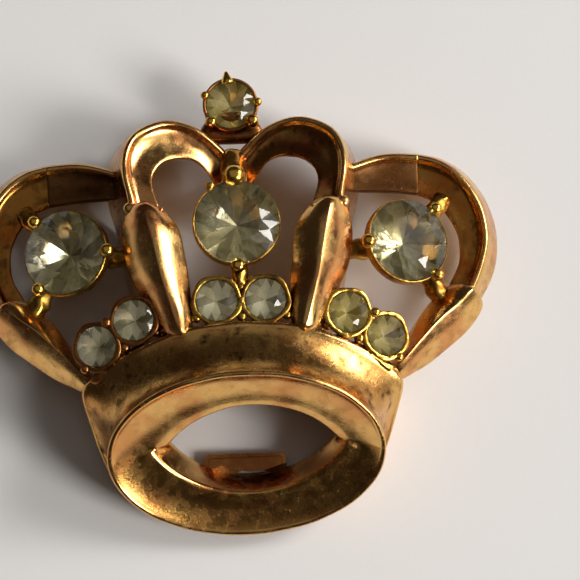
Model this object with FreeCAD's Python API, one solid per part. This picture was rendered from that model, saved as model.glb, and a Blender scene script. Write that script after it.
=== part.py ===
import FreeCAD, Part
import math
import os

V = FreeCAD.Vector
PARTS_FOLDER = "parts"

# A crown brooch lying on its back. Millimetres. +X across, +Y towards the crown's top,
# +Z out of the back plane, which is z = 0. Apart from the opening of the base ring, the castings
# and settings are symmetric about x = 0.

# ---------------------------------------------------------------- driving dimensions
# Base ring: an ellipse on a tilted plane.
RING_CENTRE = (0.0, -14.2, 6.75)
RING_HALF_WIDTH = 11.5
RING_HALF_HEIGHT = 7.9
RING_TILT = 48.6              # degrees between the ring's normal and straight down the crown
LIP_WIDTH = 0.5
LIP_STEP = 0.25
DISH_DEPTH = 1.3
OPENING_HALF_WIDTH = 7.0
OPENING_CORNER = 0.4          # how far above the ring's centre the opening's corners are
OPENING_SHIFT = 0.6           # the opening is cut a little to the right of the ring's centre
OPENING_TOP = 4.0
OPENING_BOTTOM = -4.2
TUNNEL_DEPTH = 2.6            # length of the opening's wall at the sides and the top
TUNNEL_EXTRA = 1.0            # how much longer that wall is at the bottom
SHELL = 1.0                   # wall thickness of the castings
STATION_SPACING = 1.2         # between the cross-sections of arches and leaves

# Stones: radius at the girdle.
LARGE_STONE = 3.55
TOP_STONE = 2.15
SMALL_STONE = 1.7
FACETS = 12
PAVILION_DEPTH = 0.82         # of the stone's radius
TABLE_RADIUS = 0.60           # of the stone's radius
TABLE_HEIGHT = 0.30           # of the stone's radius
GIRDLE_HALF = 0.04            # of the stone's radius
SEAT_GAP = 0.04
CUP_WALL = 0.25
SMALL_CUP_WALL = 0.42

# Pin back.
PIN_Y = -8.1
PIN_Z = 1.65
STEM_RADIUS = 0.45
HINGE_X = -7.0
CATCH_X = 6.6
TAPER_X = 5.3                 # the stem is straight up to here
POINT_X = 7.1
TAPER_RADIUS = 0.40
POINT_END_RADIUS = 0.05
STEM_TIP_X = 8.5
BAR_LENGTH = 28.0             # longer than the hollow, which trims it
BAR_BOTTOM = 3.3
BAR_THICKNESS = 0.6
BAR_WIDTH = 1.8
FOOT_THICKNESS = 0.4
RIVET_RADIUS = 0.40
RIVET_HEAD_RADIUS = 0.6
RIVET_HEAD_HEIGHT = 0.2
RUNNING_GAP = 0.04


# ---------------------------------------------------------------- helpers
def plus(a, b, k=1.0):
    """Point a moved by k times b."""
    return tuple(a[i] + k * b[i] for i in range(3))


def between(a, b, t):
    """Point at fraction t of the way from a to b."""
    return tuple(a[i] + t * (b[i] - a[i]) for i in range(3))


def unit(a):
    size = math.sqrt(sum(c * c for c in a))
    return tuple(c / size for c in a)


def section(points):
    """A closed polygon wire."""
    corners = [V(*p) for p in points]
    return Part.makePolygon(corners + [corners[0]])


def loft(sections):
    """A solid that runs smoothly through closed polygons with equal numbers of corners."""
    solid = Part.makeLoft([section(points) for points in sections], True, False)
    if solid.Volume < 0:
        solid.reverse()
    return solid


def cross_axes(start, end, third):
    """Two square directions in the plane of three points: from start to end, and away from the third."""
    across = unit(plus(end, start, -1))
    away = plus(end, third, -1)
    along = sum(away[i] * across[i] for i in range(3))
    return across, unit(plus(away, across, -along))


def even_stations(stations):
    """More stations at an even spacing, on smooth curves through the given ones."""
    knots = [0.0]
    for before, after in zip(stations, stations[1:]):
        knots.append(knots[-1] + max(math.dist(before[k], after[k]) for k in range(3)))
    count = max(4, round(knots[-1] / STATION_SPACING))
    result = []
    for i in range(count + 1):
        place = knots[-1] * i / count
        result.append(tuple(on_curve([s[k] for s in stations], knots, place) for k in range(3)))
    return result


def on_curve(points, knots, place):
    """A point on the cubic curve through the points, whose slopes follow their neighbours."""
    last = len(points) - 1
    i = max(k for k in range(last) if knots[k] <= place + 1e-9)

    def slope(k):
        if k == 0 or k == last:
            a, b = (0, 1) if k == 0 else (last - 1, last)
            return tuple((points[b][c] - points[a][c]) / (knots[b] - knots[a]) for c in range(3))
        before, after = knots[k] - knots[k - 1], knots[k + 1] - knots[k]
        ahead = between(points[k], points[k + 1], before / after)
        behind = between(points[k - 1], points[k], 1 + after / before)
        return tuple((ahead[c] + behind[c] - 2 * points[k][c]) / (before + after) for c in range(3))

    span = knots[i + 1] - knots[i]
    t = (place - knots[i]) / span
    first, second = slope(i), slope(i + 1)
    return tuple((2 * t**3 - 3 * t**2 + 1) * points[i][c] + (t**3 - 2 * t**2 + t) * span * first[c]
                 + (3 * t**2 - 2 * t**3) * points[i + 1][c] + (t**3 - t**2) * span * second[c]
                 for c in range(3))


def mirrored(shape):
    return shape.mirror(V(0, 0, 0), V(1, 0, 0))


def largest(shape):
    """The biggest solid of a shape, which drops chips that a cut leaves behind."""
    return max(shape.Solids, key=lambda solid: solid.Volume)


def cut_clear(shape, *tools):
    """The shape with its neighbours cut away, so that they meet face to face."""
    for tool in tools:
        shape = shape.cut(tool)
    return largest(shape)


def oriented(shape, centre, axis):
    """Turn a shape made around +Z at the origin onto an axis and move it to a centre."""
    turn = FreeCAD.Rotation(V(0, 0, 1), V(*axis))
    shape.Placement = FreeCAD.Placement(V(*centre), turn)
    return shape


def rod(start, end, radius):
    """A round rod between two points."""
    line = V(*end) - V(*start)
    return Part.makeCylinder(radius, line.Length, V(*start), line)


def front_space(x0=-30):
    """The room in front of the back plane, from x0 to the right."""
    return Part.makeBox(60, 80, 40, V(x0, -40, 0))


# ---------------------------------------------------------------- base band
TILT = math.radians(RING_TILT)
RING_UP = (0.0, math.sin(TILT), math.cos(TILT))
RING_OUT = (0.0, -math.cos(TILT), math.sin(TILT))

# The band's ridge and the outline of its back edge, by angle around the right half of the ring.
RIDGE = {90: (0, -3.5, 9.5), 70: (4.7, -3.95, 9.2), 50: (8.7, -5.2, 8.2), 30: (11.7, -6.6, 6.6),
         15: (13.4, -7.9, 5.1), 0: (12.8, -10.6, 3.2), -15: (12.0, -13.0, 2.1),
         -30: (10.8, -15.3, 1.3), -50: (8.0, -17.7, 0.8), -70: (4.3, -19.1, 0.55), -90: (0, -19.6, 0.5)}
BACK = {90: (0, -4.1), 70: (4.5, -4.5), 50: (8.2, -5.7), 30: (11.0, -7.1), 15: (12.5, -8.7),
        0: (12.2, -11.0), -15: (11.5, -13.2), -30: (10.4, -15.2), -50: (7.8, -17.4),
        -70: (4.2, -18.7), -90: (0, -19.1)}
CUT_ALLOWANCE = 0.3           # how far castings are made past the back plane before it cuts them flat
ANGLES = (0, 15, 30, 50, 70, 90)
CAVITY_MIDDLE = (0.0, -11.5, -CUT_ALLOWANCE)
WALL_HOLLOW = 0.45            # how far the band's outer wall curves inwards


def on_ring(x, up, out):
    """A point in the tilted ring's own coordinates."""
    return plus(plus(plus(RING_CENTRE, (x, 0, 0)), RING_UP, up), RING_OUT, out)


def opening_edge(angle, shift):
    """The opening's edge, moved across by shift: two arcs that meet at pointed corners."""
    x = OPENING_HALF_WIDTH * math.cos(math.radians(angle))
    apex = OPENING_TOP if angle >= 0 else OPENING_BOTTOM
    rise = abs(apex - OPENING_CORNER)
    radius = (OPENING_HALF_WIDTH ** 2 + rise ** 2) / (2 * rise)
    fall = radius - math.sqrt(radius ** 2 - x ** 2)
    return on_ring(x + shift, apex - math.copysign(fall, apex), -DISH_DEPTH)


def band_section(angle, shift):
    """The band's cut face at one angle, from the back edge over the ridge and rim to the opening."""
    turn = math.radians(angle)
    rim_x = RING_HALF_WIDTH * math.cos(turn)
    rim_up = RING_HALF_HEIGHT * math.sin(turn)
    rim = on_ring(rim_x, rim_up, 0)
    inner = 1 - LIP_WIDTH / math.hypot(rim_x, rim_up)
    lip = on_ring(rim_x * inner, rim_up * inner, 0)
    step = on_ring(rim_x * inner, rim_up * inner, -LIP_STEP)
    edge = opening_edge(angle, shift)
    dish = plus(between(step, edge, 0.5), RING_OUT, -0.25)
    ridge, back = RIDGE[angle], (*BACK[angle], -CUT_ALLOWANCE)
    middle = between(rim, ridge, 0.5)
    core = on_ring(0, 0, -3)
    wall = plus(middle, unit(plus(middle, core, -1)), -WALL_HOLLOW)

    share = min(1.0, 1.0 + angle / 90.0)
    depth = TUNNEL_DEPTH + TUNNEL_EXTRA * (1 - share)
    tunnel = plus(edge, RING_OUT, -depth)
    outward = unit(plus(rim, edge, -1))
    tunnel_back = plus(tunnel, outward, SHELL * 0.9)
    back_inside = plus(back, unit(plus(CAVITY_MIDDLE, back, -1)), SHELL)
    under_rim = plus(between(lip, edge, 0.35), RING_OUT, -1.4)
    under_ridge = plus(ridge, unit(plus(core, ridge, -1)), SHELL * 1.15)
    hollow = 0.1 + 0.9 * share
    first = between(between(tunnel_back, back_inside, 0.33), under_rim, hollow)
    second = between(between(tunnel_back, back_inside, 0.66), under_ridge, hollow)
    return [back, ridge, wall, plus(rim, RING_OUT, -LIP_STEP), rim, lip, step, dish, edge,
            tunnel, tunnel_back, first, second, back_inside]


def base_band():
    """The hollow ring: an upper and a lower half that meet at the opening's corners."""
    halves = []
    for side in (1, -1):
        right = [band_section(side * angle, OPENING_SHIFT) for angle in ANGLES]
        left = [band_section(side * angle, -OPENING_SHIFT) for angle in ANGLES[:-1]]
        halves.append(loft(right + [[(-x, y, z) for x, y, z in points] for points in reversed(left)]))
    return largest(halves[0].fuse(halves[1]).common(front_space()))


# ---------------------------------------------------------------- arches and straps
# Each station holds the raised lip, the inner edge and the foot of the outer wall.
INNER_ARCH = [
    ((6.4, -4.9, 8.0), (5.0, -4.9, 7.6), (7.2, -5.2, -0.3)),
    ((8.2, 0.0, 8.0), (5.5, 0.0, 7.8), (9.2, 0.0, -0.3)),
    ((9.2, 4.0, 8.2), (6.1, 4.0, 8.0), (10.0, 4.0, -0.3)),
    ((8.9, 7.2, 9.0), (6.4, 6.9, 8.4), (10.7, 7.6, 0.6)),
    ((9.3, 9.6, 9.1), (6.9, 8.7, 8.3), (11.3, 10.0, 1.6)),
    ((9.3, 11.7, 8.8), (6.9, 9.9, 8.0), (11.2, 12.4, 2.3)),
    ((8.4, 13.6, 8.4), (6.3, 11.0, 7.6), (9.8, 14.9, 2.8)),
    ((6.2, 14.9, 7.8), (5.1, 11.7, 7.1), (6.9, 16.1, 3.0)),
    ((4.4, 14.9, 7.3), (3.8, 11.8, 6.6), (4.3, 16.0, 3.1)),
    ((2.7, 14.2, 6.8), (2.8, 11.3, 6.1), (2.2, 15.1, 3.2)),
    ((1.4, 13.1, 6.3), (2.1, 10.4, 5.6), (0.7, 13.8, 3.2)),
    ((0.1, 11.8, 5.8), (1.3, 9.5, 5.1), (-0.7, 12.3, 3.2)),
]
OUTER_ARCH = [
    ((16.2, 12.1, 5.0), (16.1, 8.7, 4.4), (16.1, 13.2, 2.2)),
    ((18.0, 11.6, 4.9), (17.2, 8.2, 4.2), (18.7, 12.8, 2.0)),
    ((19.5, 10.6, 4.8), (18.1, 7.3, 4.1), (20.7, 11.5, 1.9)),
    ((20.9, 8.8, 4.6), (18.9, 6.1, 4.0), (22.4, 9.2, 1.8)),
    ((21.7, 6.6, 4.5), (19.35, 4.9, 3.9), (23.2, 6.8, 1.7)),
    ((21.8, 4.4, 4.4), (19.4, 3.6, 3.8), (23.3, 4.4, 1.7)),
    ((21.3, 2.3, 4.4), (19.2, 2.4, 3.8), (22.8, 2.0, 1.7)),
    ((20.5, 0.5, 4.4), (18.6, 1.2, 3.8), (21.7, 0.0, 1.7)),
    ((19.7, -0.9, 4.3), (17.9, 0.0, 3.8), (20.5, -1.6, 1.7)),
]
BRIDGE_STRAP = [
    ((9.6, 10.9, 5.7), (9.6, 8.9, 5.1), (9.6, 12.0, 2.7)),
    ((13.2, 12.1, 5.3), (13.4, 8.9, 4.7), (13.2, 13.1, 2.4)),
    ((16.2, 12.1, 5.0), (16.1, 8.7, 4.4), (16.1, 13.2, 2.2)),
]


def strap_section(lip, inner, foot):
    """An arch's cut face: lip, outer wall, hollow underside, inner edge and dished face."""
    outward, upward = cross_axes(inner, lip, foot)

    def moved(point, out, up):
        return plus(plus(point, outward, out), upward, up)

    return [lip, moved(lip, 0.25, -0.35), foot, moved(foot, -SHELL, 0), moved(lip, -0.7, -1.5),
            moved(inner, 0.6, -1.4), moved(inner, 0.1, -1.3), inner,
            moved(between(lip, inner, 0.55), 0, -0.35), moved(lip, -0.4, -0.25)]


def strap(stations):
    return loft([strap_section(*station) for station in even_stations(stations)])


# ---------------------------------------------------------------- leaves
# Each station holds the outer edge, the crest and the inner edge.
INNER_LEAF = [
    ((6.4, -4.6, 8.4), (5.15, -4.6, 9.6), (4.15, -4.5, 9.0)),
    ((7.2, -2.8, 8.4), (5.65, -2.8, 10.1), (4.0, -2.6, 9.0)),
    ((8.1, -1.0, 8.2), (6.2, -0.9, 10.5), (4.15, -0.5, 9.0)),
    ((9.1, 1.0, 8.1), (6.65, 1.1, 10.75), (4.35, 1.5, 9.1)),
    ((9.65, 3.0, 8.2), (7.05, 3.0, 10.8), (4.6, 3.2, 9.2)),
    ((9.7, 5.0, 8.5), (7.45, 4.8, 10.75), (5.0, 4.9, 9.35)),
    ((9.3, 6.4, 8.9), (7.75, 6.2, 10.5), (5.9, 6.2, 9.5)),
    ((8.7, 7.1, 9.3), (7.9, 7.1, 10.0), (7.0, 7.0, 9.6)),
]
OUTER_LEAF = [
    ((12.9, -8.2, 4.6), (12.4, -7.6, 5.6), (12.1, -7.0, 5.0)),
    ((14.3, -7.45, 4.3), (13.8, -6.3, 6.1), (13.3, -5.9, 5.0)),
    ((16.0, -6.5, 4.0), (15.3, -4.7, 6.4), (14.2, -4.6, 4.9)),
    ((18.0, -5.0, 3.9), (17.0, -3.0, 6.5), (15.3, -2.6, 4.8)),
    ((20.0, -3.2, 3.9), (18.8, -1.6, 6.3), (16.8, -0.8, 4.7)),
    ((21.0, -1.7, 4.2), (20.0, -0.5, 5.9), (18.3, 0.3, 4.8)),
    ((21.0, -0.7, 4.7), (20.5, -0.1, 5.2), (19.8, 0.2, 4.9)),
]


def leaf_section(outer, crest, inner, thickness):
    """A leaf's cut face: two rounded slopes that meet at the crest, and a flat underside."""
    _, upward = cross_axes(inner, outer, crest)
    upward = tuple(-c for c in upward)
    return [outer, plus(between(outer, crest, 0.5), upward, 0.2), crest,
            plus(between(crest, inner, 0.5), upward, 0.25), inner,
            plus(between(inner, outer, 0.08), upward, -thickness),
            plus(between(outer, inner, 0.08), upward, -thickness)]


def leaf(stations, thickness):
    return loft([leaf_section(*station, thickness) for station in even_stations(stations)])


# ---------------------------------------------------------------- stones and settings
def stone(radius, centre, axis):
    """A faceted stone: flat table, bevelled crown, thin girdle and a pointed pavilion."""
    rings = [(TABLE_RADIUS * radius, TABLE_HEIGHT * radius), (radius, GIRDLE_HALF * radius),
             (radius, -GIRDLE_HALF * radius)]
    wires = []
    for ring_radius, height in rings:
        corners = []
        for i in range(FACETS):
            turn = 2 * math.pi * i / FACETS
            corners.append((ring_radius * math.cos(turn), ring_radius * math.sin(turn), height))
        wires.append(corners)
    tip = (0, 0, -PAVILION_DEPTH * radius)
    faces = [Part.Face(section(wires[0]))]
    for high, low in ((wires[0], wires[1]), (wires[1], wires[2])):
        for i in range(FACETS):
            j = (i + 1) % FACETS
            faces.append(Part.Face(section([high[i], high[j], low[j], low[i]])))
    for i in range(FACETS):
        j = (i + 1) % FACETS
        faces.append(Part.Face(section([wires[2][i], wires[2][j], tip])))
    solid = Part.makeSolid(Part.makeShell(faces))
    if solid.Volume < 0:
        solid.reverse()
    return oriented(solid, centre, axis)


def cup(radius, centre, axis, wall=CUP_WALL, depth=0.95):
    """A conical cup with a round rim, whose seat follows the stone's pavilion."""
    seat = radius + SEAT_GAP
    outer = seat + wall
    profile = [(0, -0.86 * radius), (0, -depth * radius), (0.45 * radius, -depth * radius),
               (outer, -0.30 * radius), (outer, 0.02 * radius), (seat, 0.02 * radius),
               (seat, -0.08 * radius)]
    wire = Part.makePolygon([V(r, 0, h) for r, h in profile + profile[:1]])
    solid = Part.Face(wire).revolve(V(0, 0, 0), V(0, 0, 1), 360)
    if solid.Volume < 0:
        solid.reverse()
    return oriented(solid, centre, axis)


def girdle_point(radius, centre, axis, angle, out=0.0, up=0.0):
    """A point beside the girdle at an angle, moved out from it and up along the stone's axis."""
    turn = FreeCAD.Rotation(V(0, 0, 1), V(*axis))
    flat = V(math.cos(math.radians(angle)), math.sin(math.radians(angle)), 0)
    place = V(*centre) + turn.multVec(flat * (radius + out) + V(0, 0, up))
    return tuple(place)


def bead(radius, centre, axis, angle, size):
    """A round bead that laps over the girdle, on a short post beside the cup."""
    top = girdle_point(radius, centre, axis, angle, out=0.3 * size + 0.2, up=0.35)
    low = girdle_point(radius, centre, axis, angle, out=0.3 * size + 0.2, up=-0.35 * radius)
    return Part.makeSphere(size, V(*top)).fuse(rod(low, top, 0.7 * size))


# Centre, axis, and the angles of the beads with their radii.
CENTRE_AT, CENTRE_AXIS = (0.0, 5.3, 9.0), unit((0.0, -0.06, 1.0))
SIDE_AT, SIDE_AXIS = (14.6, 3.75, 7.0), unit((0.30, -0.04, 1.0))
TOP_AT, TOP_AXIS = (0.0, 17.4, 5.0), unit((0.0, -0.08, 1.0))
CENTRE_BEADS = ((92, 0.80), (122, 0.45), (268, 0.62))
SIDE_BEADS = ((185, 0.62), (48, 0.55), (-52, 0.55))
TOP_BEADS = ((222, 0.50), (318, 0.58), (2, 0.38), (160, 0.36))
TOP_CLAW_ANGLE = 92
TOP_CLAW_REACH = 0.85
CLAW_ROOT_RADIUS, CLAW_TIP_RADIUS = 0.55, 0.12


def beads(radius, centre, axis, places):
    group = None
    for angle, size in places:
        one = bead(radius, centre, axis, angle, size)
        group = one if group is None else group.fuse(one)
    return group


# Start, end and radius of each rod between a cup and its neighbours.
CENTRE_RODS = (((0.0, 8.4, 7.0), (0.0, 12.6, 5.0), 1.1), ((0.0, 2.0, 7.6), (0.0, -1.6, 7.6), 0.6))
SIDE_RODS = (((11.9, 3.6, 5.4), (9.0, 3.4, 5.4), 0.65), ((16.6, 5.9, 4.6), (18.6, 8.6, 3.6), 0.65),
             ((16.4, 1.4, 4.6), (17.8, -1.6, 4.2), 0.65))
SADDLE = ((-2.3, 16.6), (2.3, 16.6), (3.1, 15.1), (2.6, 14.4), (-2.6, 14.4), (-3.1, 15.1))
SADDLE_BACK, SADDLE_THICKNESS = 2.8, 2.0


def with_rods(body, rods):
    for start, end, radius in rods:
        body = body.fuse(rod(start, end, radius))
    return body


def centre_setting():
    """The centre cup with a neck to the arches above and a stem to the pair plate below."""
    return with_rods(cup(LARGE_STONE, CENTRE_AT, CENTRE_AXIS), CENTRE_RODS)


def side_setting():
    """The right cup with three stems: to the inner arch, the outer arch and the outer leaf."""
    return with_rods(cup(LARGE_STONE, SIDE_AT, SIDE_AXIS), SIDE_RODS)


def top_setting():
    """The top cup on a saddle that bridges the two arches above their cleft."""
    body = cup(TOP_STONE, TOP_AT, TOP_AXIS, wall=0.3, depth=1.0)
    outline = section([(x, y, SADDLE_BACK) for x, y in SADDLE])
    return body.fuse(Part.Face(outline).extrude(V(0, 0, SADDLE_THICKNESS)))


def top_prongs():
    """Four beads and the pointed claw above the top stone."""
    group = beads(TOP_STONE, TOP_AT, TOP_AXIS, TOP_BEADS)

    def beside(out, up):
        return girdle_point(TOP_STONE, TOP_AT, TOP_AXIS, TOP_CLAW_ANGLE, out, up)

    root, tip = beside(-0.1, 0.1), beside(TOP_CLAW_REACH, 0.1)
    line = V(*tip) - V(*root)
    claw = Part.makeCone(CLAW_ROOT_RADIUS, CLAW_TIP_RADIUS, line.Length, V(*root), line)
    post = rod(beside(0.25, -0.8), between(root, tip, 0.35), 0.36)
    return group.fuse(claw).fuse(post)


# Small stones in pairs: centre and axis of each, right side for the outer pairs.
CENTRE_PAIR = [((-2.03, -1.6, 9.5), (0.0, -0.12, 1.0)), ((2.03, -1.6, 9.5), (0.0, -0.12, 1.0))]
SIDE_PAIR = [((8.95, -2.75, 8.5), (0.22, -0.12, 1.0)), ((12.1, -4.6, 7.4), (0.32, -0.12, 1.0))]
# Start and end of the roots that hold each pair's plate on the band.
CENTRE_ROOTS = (((-2.2, -1.8, 8.3), (-2.2, -5.6, 8.0)), ((2.2, -1.8, 8.3), (2.2, -5.6, 8.0)))
SIDE_ROOTS = (((9.0, -3.0, 7.2), (8.4, -6.4, 6.6)), ((12.0, -4.8, 6.2), (11.0, -7.6, 5.2)))
ROOT_RADIUS = 0.7
WEB_RADIUS = 0.6


def pair_plate(pair, roots):
    """Two small cups joined by a web, with roots that reach into the band's ridge."""
    cups = [cup(SMALL_STONE, at, unit(axis), wall=SMALL_CUP_WALL, depth=1.0) for at, axis in pair]
    (first, _), (second, _) = pair
    low = (0, 0, -0.55 * SMALL_STONE)
    web = rod(plus(first, low), plus(second, low), WEB_RADIUS)
    plate = cups[0].fuse(cups[1]).fuse(web)
    for start, end in roots:
        plate = plate.fuse(rod(start, end, ROOT_RADIUS))
    for at, axis in pair:
        plate = plate.cut(seat_space(at, unit(axis)))
    return plate


def seat_space(centre, axis):
    """The room that a small stone takes in its plate."""
    seat = SMALL_STONE + SEAT_GAP
    lower = Part.makeCone(0.01, seat, 0.80 * SMALL_STONE, V(0, 0, -0.86 * SMALL_STONE))
    upper = Part.makeCylinder(seat, SMALL_STONE, V(0, 0, -0.06 * SMALL_STONE - 0.001))
    return oriented(lower.fuse(upper), centre, axis)


# ---------------------------------------------------------------- blank plate on the back
PLATE_HALF_WIDTH = 3.5
PLATE_LOW, PLATE_HIGH = -16.0, -13.0
PLATE_BACK, PLATE_FRONT = 0.25, 0.95
BORDER = 0.3
BORDER_HEIGHT = 0.15


def blank_back_plate():
    """A small blank tablet with a raised border, fixed behind the opening's lower wall."""
    outer = rounded_slab(PLATE_HALF_WIDTH, PLATE_LOW, PLATE_HIGH, PLATE_BACK, PLATE_FRONT, 0.5)
    field = rounded_slab(PLATE_HALF_WIDTH - BORDER, PLATE_LOW + BORDER, PLATE_HIGH - BORDER,
                         PLATE_FRONT - BORDER_HEIGHT, PLATE_FRONT + BORDER_HEIGHT, 0.3)
    return outer.cut(field)


def rounded_slab(half_width, y0, y1, z0, z1, corner):
    """A flat slab across x = 0 whose four upright edges are rounded."""
    slab = Part.makeBox(2 * half_width, y1 - y0, z1 - z0, V(-half_width, y0, z0))
    upright = [edge for edge in slab.Edges if edge.BoundBox.ZLength > 0.5 * (z1 - z0)]
    return slab.makeFillet(corner, upright)


# ---------------------------------------------------------------- pin back
EAR_THICKNESS = 0.4
EYE_HALF_WIDTH = 0.6
EAR_GAP = EYE_HALF_WIDTH + RUNNING_GAP
EAR_RADIUS = 0.85
EYE_RADIUS = 1.0
MOUTH_WIDTH = 1.1
SLEEVE_INNER = 0.55
SLEEVE_OUTER = 0.84
FLANGE_RADIUS = 1.15
FLANGE_HALF_WIDTH = 0.34
CHEEK_OUTER = 1.4
CHEEK_INSIDE = FLANGE_HALF_WIDTH + 0.06
CHEEK_THICKNESS = 0.45
SLEEVE_OVERHANG = 0.12        # how far the sleeve stands out of the cheeks
CATCH_WIDTH = 2.0
CATCH_ROOM = 3.0              # more than the catch reaches from its middle, for cutting tools
TAB_REACH = 1.6
TAB_THICKNESS = 0.5
TAB_ANGLE = 200               # around the pin's axis, from +Y


def disc_y(radius, y0, y1):
    """A cylinder around the hinge's axis from y0 to y1."""
    return Part.makeCylinder(radius, y1 - y0, V(HINGE_X, y0, PIN_Z), V(0, 1, 0))


def disc_x(radius, x0, x1):
    """A cylinder along the pin's axis from x0 to x1."""
    return Part.makeCylinder(radius, x1 - x0, V(x0, PIN_Y, PIN_Z), V(1, 0, 0))


def cone_x(radius0, radius1, x0, x1):
    """A cone along the pin's axis from x0 to x1."""
    return Part.makeCone(radius0, radius1, x1 - x0, V(x0, PIN_Y, PIN_Z), V(1, 0, 0))


def mouth():
    """The slot below the pin's axis that lets the stem in and out of the catch."""
    corner = V(CATCH_X - CATCH_ROOM, PIN_Y - MOUTH_WIDTH / 2, PIN_Z - CATCH_ROOM)
    return Part.makeBox(2 * CATCH_ROOM, MOUTH_WIDTH, CATCH_ROOM, corner)


def pin_bar():
    """The flat bar that spans the hollow of the band and carries the pin."""
    corner = V(-BAR_LENGTH / 2, PIN_Y - BAR_WIDTH / 2, BAR_BOTTOM)
    return Part.makeBox(BAR_LENGTH, BAR_WIDTH, BAR_THICKNESS, corner)


def pin_joint():
    """Two ears on a foot, with a hole for the rivet."""
    half = EAR_GAP + EAR_THICKNESS
    left = HINGE_X - EAR_RADIUS
    body = Part.makeBox(2 * EAR_RADIUS, 2 * half, FOOT_THICKNESS,
                        V(left, PIN_Y - half, BAR_BOTTOM - FOOT_THICKNESS))
    for y0 in (PIN_Y - half, PIN_Y + EAR_GAP):
        ear = disc_y(EAR_RADIUS, y0, y0 + EAR_THICKNESS)
        post = Part.makeBox(2 * EAR_RADIUS, EAR_THICKNESS, BAR_BOTTOM - PIN_Z, V(left, y0, PIN_Z))
        body = body.fuse(ear).fuse(post)
    return body.cut(disc_y(RIVET_RADIUS, PIN_Y - 2 * half, PIN_Y + 2 * half))


def joint_rivet():
    """The rivet through the ears, with a low head on each side."""
    half = EAR_GAP + EAR_THICKNESS
    shank = disc_y(RIVET_RADIUS, PIN_Y - half, PIN_Y + half)
    for y0 in (PIN_Y - half - RIVET_HEAD_HEIGHT, PIN_Y + half):
        shank = shank.fuse(disc_y(RIVET_HEAD_RADIUS, y0, y0 + RIVET_HEAD_HEIGHT))
    return shank


def pin_stem():
    """The stem: an eye on the rivet, a round wire and a sharp point."""
    eye = disc_y(EYE_RADIUS, PIN_Y - EYE_HALF_WIDTH, PIN_Y + EYE_HALF_WIDTH)
    wire = disc_x(STEM_RADIUS, HINGE_X, TAPER_X)
    taper = cone_x(STEM_RADIUS, TAPER_RADIUS, TAPER_X, POINT_X)
    point = cone_x(TAPER_RADIUS, POINT_END_RADIUS, POINT_X, STEM_TIP_X)
    hole = disc_y(RIVET_RADIUS + RUNNING_GAP, PIN_Y - EAR_GAP, PIN_Y + EAR_GAP)
    return eye.fuse(wire).fuse(taper).fuse(point).cut(hole)


def catch_body():
    """Two cheeks with open mouths on a foot; the rotor's sleeve turns in them."""
    outer = CHEEK_INSIDE + CHEEK_THICKNESS
    side = PIN_Y - CATCH_WIDTH / 2
    foot_bottom = BAR_BOTTOM - FOOT_THICKNESS
    body = Part.makeBox(2 * outer, CATCH_WIDTH, FOOT_THICKNESS, V(CATCH_X - outer, side, foot_bottom))
    for x0 in (CATCH_X - outer, CATCH_X + CHEEK_INSIDE):
        cheek = disc_x(CHEEK_OUTER, x0, x0 + CHEEK_THICKNESS)
        post = Part.makeBox(CHEEK_THICKNESS, CATCH_WIDTH, foot_bottom - PIN_Z, V(x0, side, PIN_Z))
        body = body.fuse(cheek).fuse(post)
    bore = disc_x(SLEEVE_OUTER + RUNNING_GAP, CATCH_X - CATCH_ROOM, CATCH_X + CATCH_ROOM)
    return body.cut(bore).cut(mouth())


def catch_rotor():
    """The safety rotor: a slotted sleeve with a flange and a finger tab."""
    reach = CHEEK_INSIDE + CHEEK_THICKNESS + SLEEVE_OVERHANG
    sleeve = disc_x(SLEEVE_OUTER, CATCH_X - reach, CATCH_X + reach)
    left = CATCH_X - FLANGE_HALF_WIDTH
    flange = disc_x(FLANGE_RADIUS, left, left + 2 * FLANGE_HALF_WIDTH)
    tab = Part.makeBox(2 * FLANGE_HALF_WIDTH, TAB_REACH, TAB_THICKNESS,
                       V(left, PIN_Y, PIN_Z - TAB_THICKNESS / 2))
    tab.rotate(V(CATCH_X, PIN_Y, PIN_Z), V(1, 0, 0), TAB_ANGLE)
    bore = disc_x(SLEEVE_INNER, CATCH_X - CATCH_ROOM, CATCH_X + CATCH_ROOM)
    return sleeve.fuse(flange).fuse(tab).cut(bore).cut(mouth())


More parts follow.
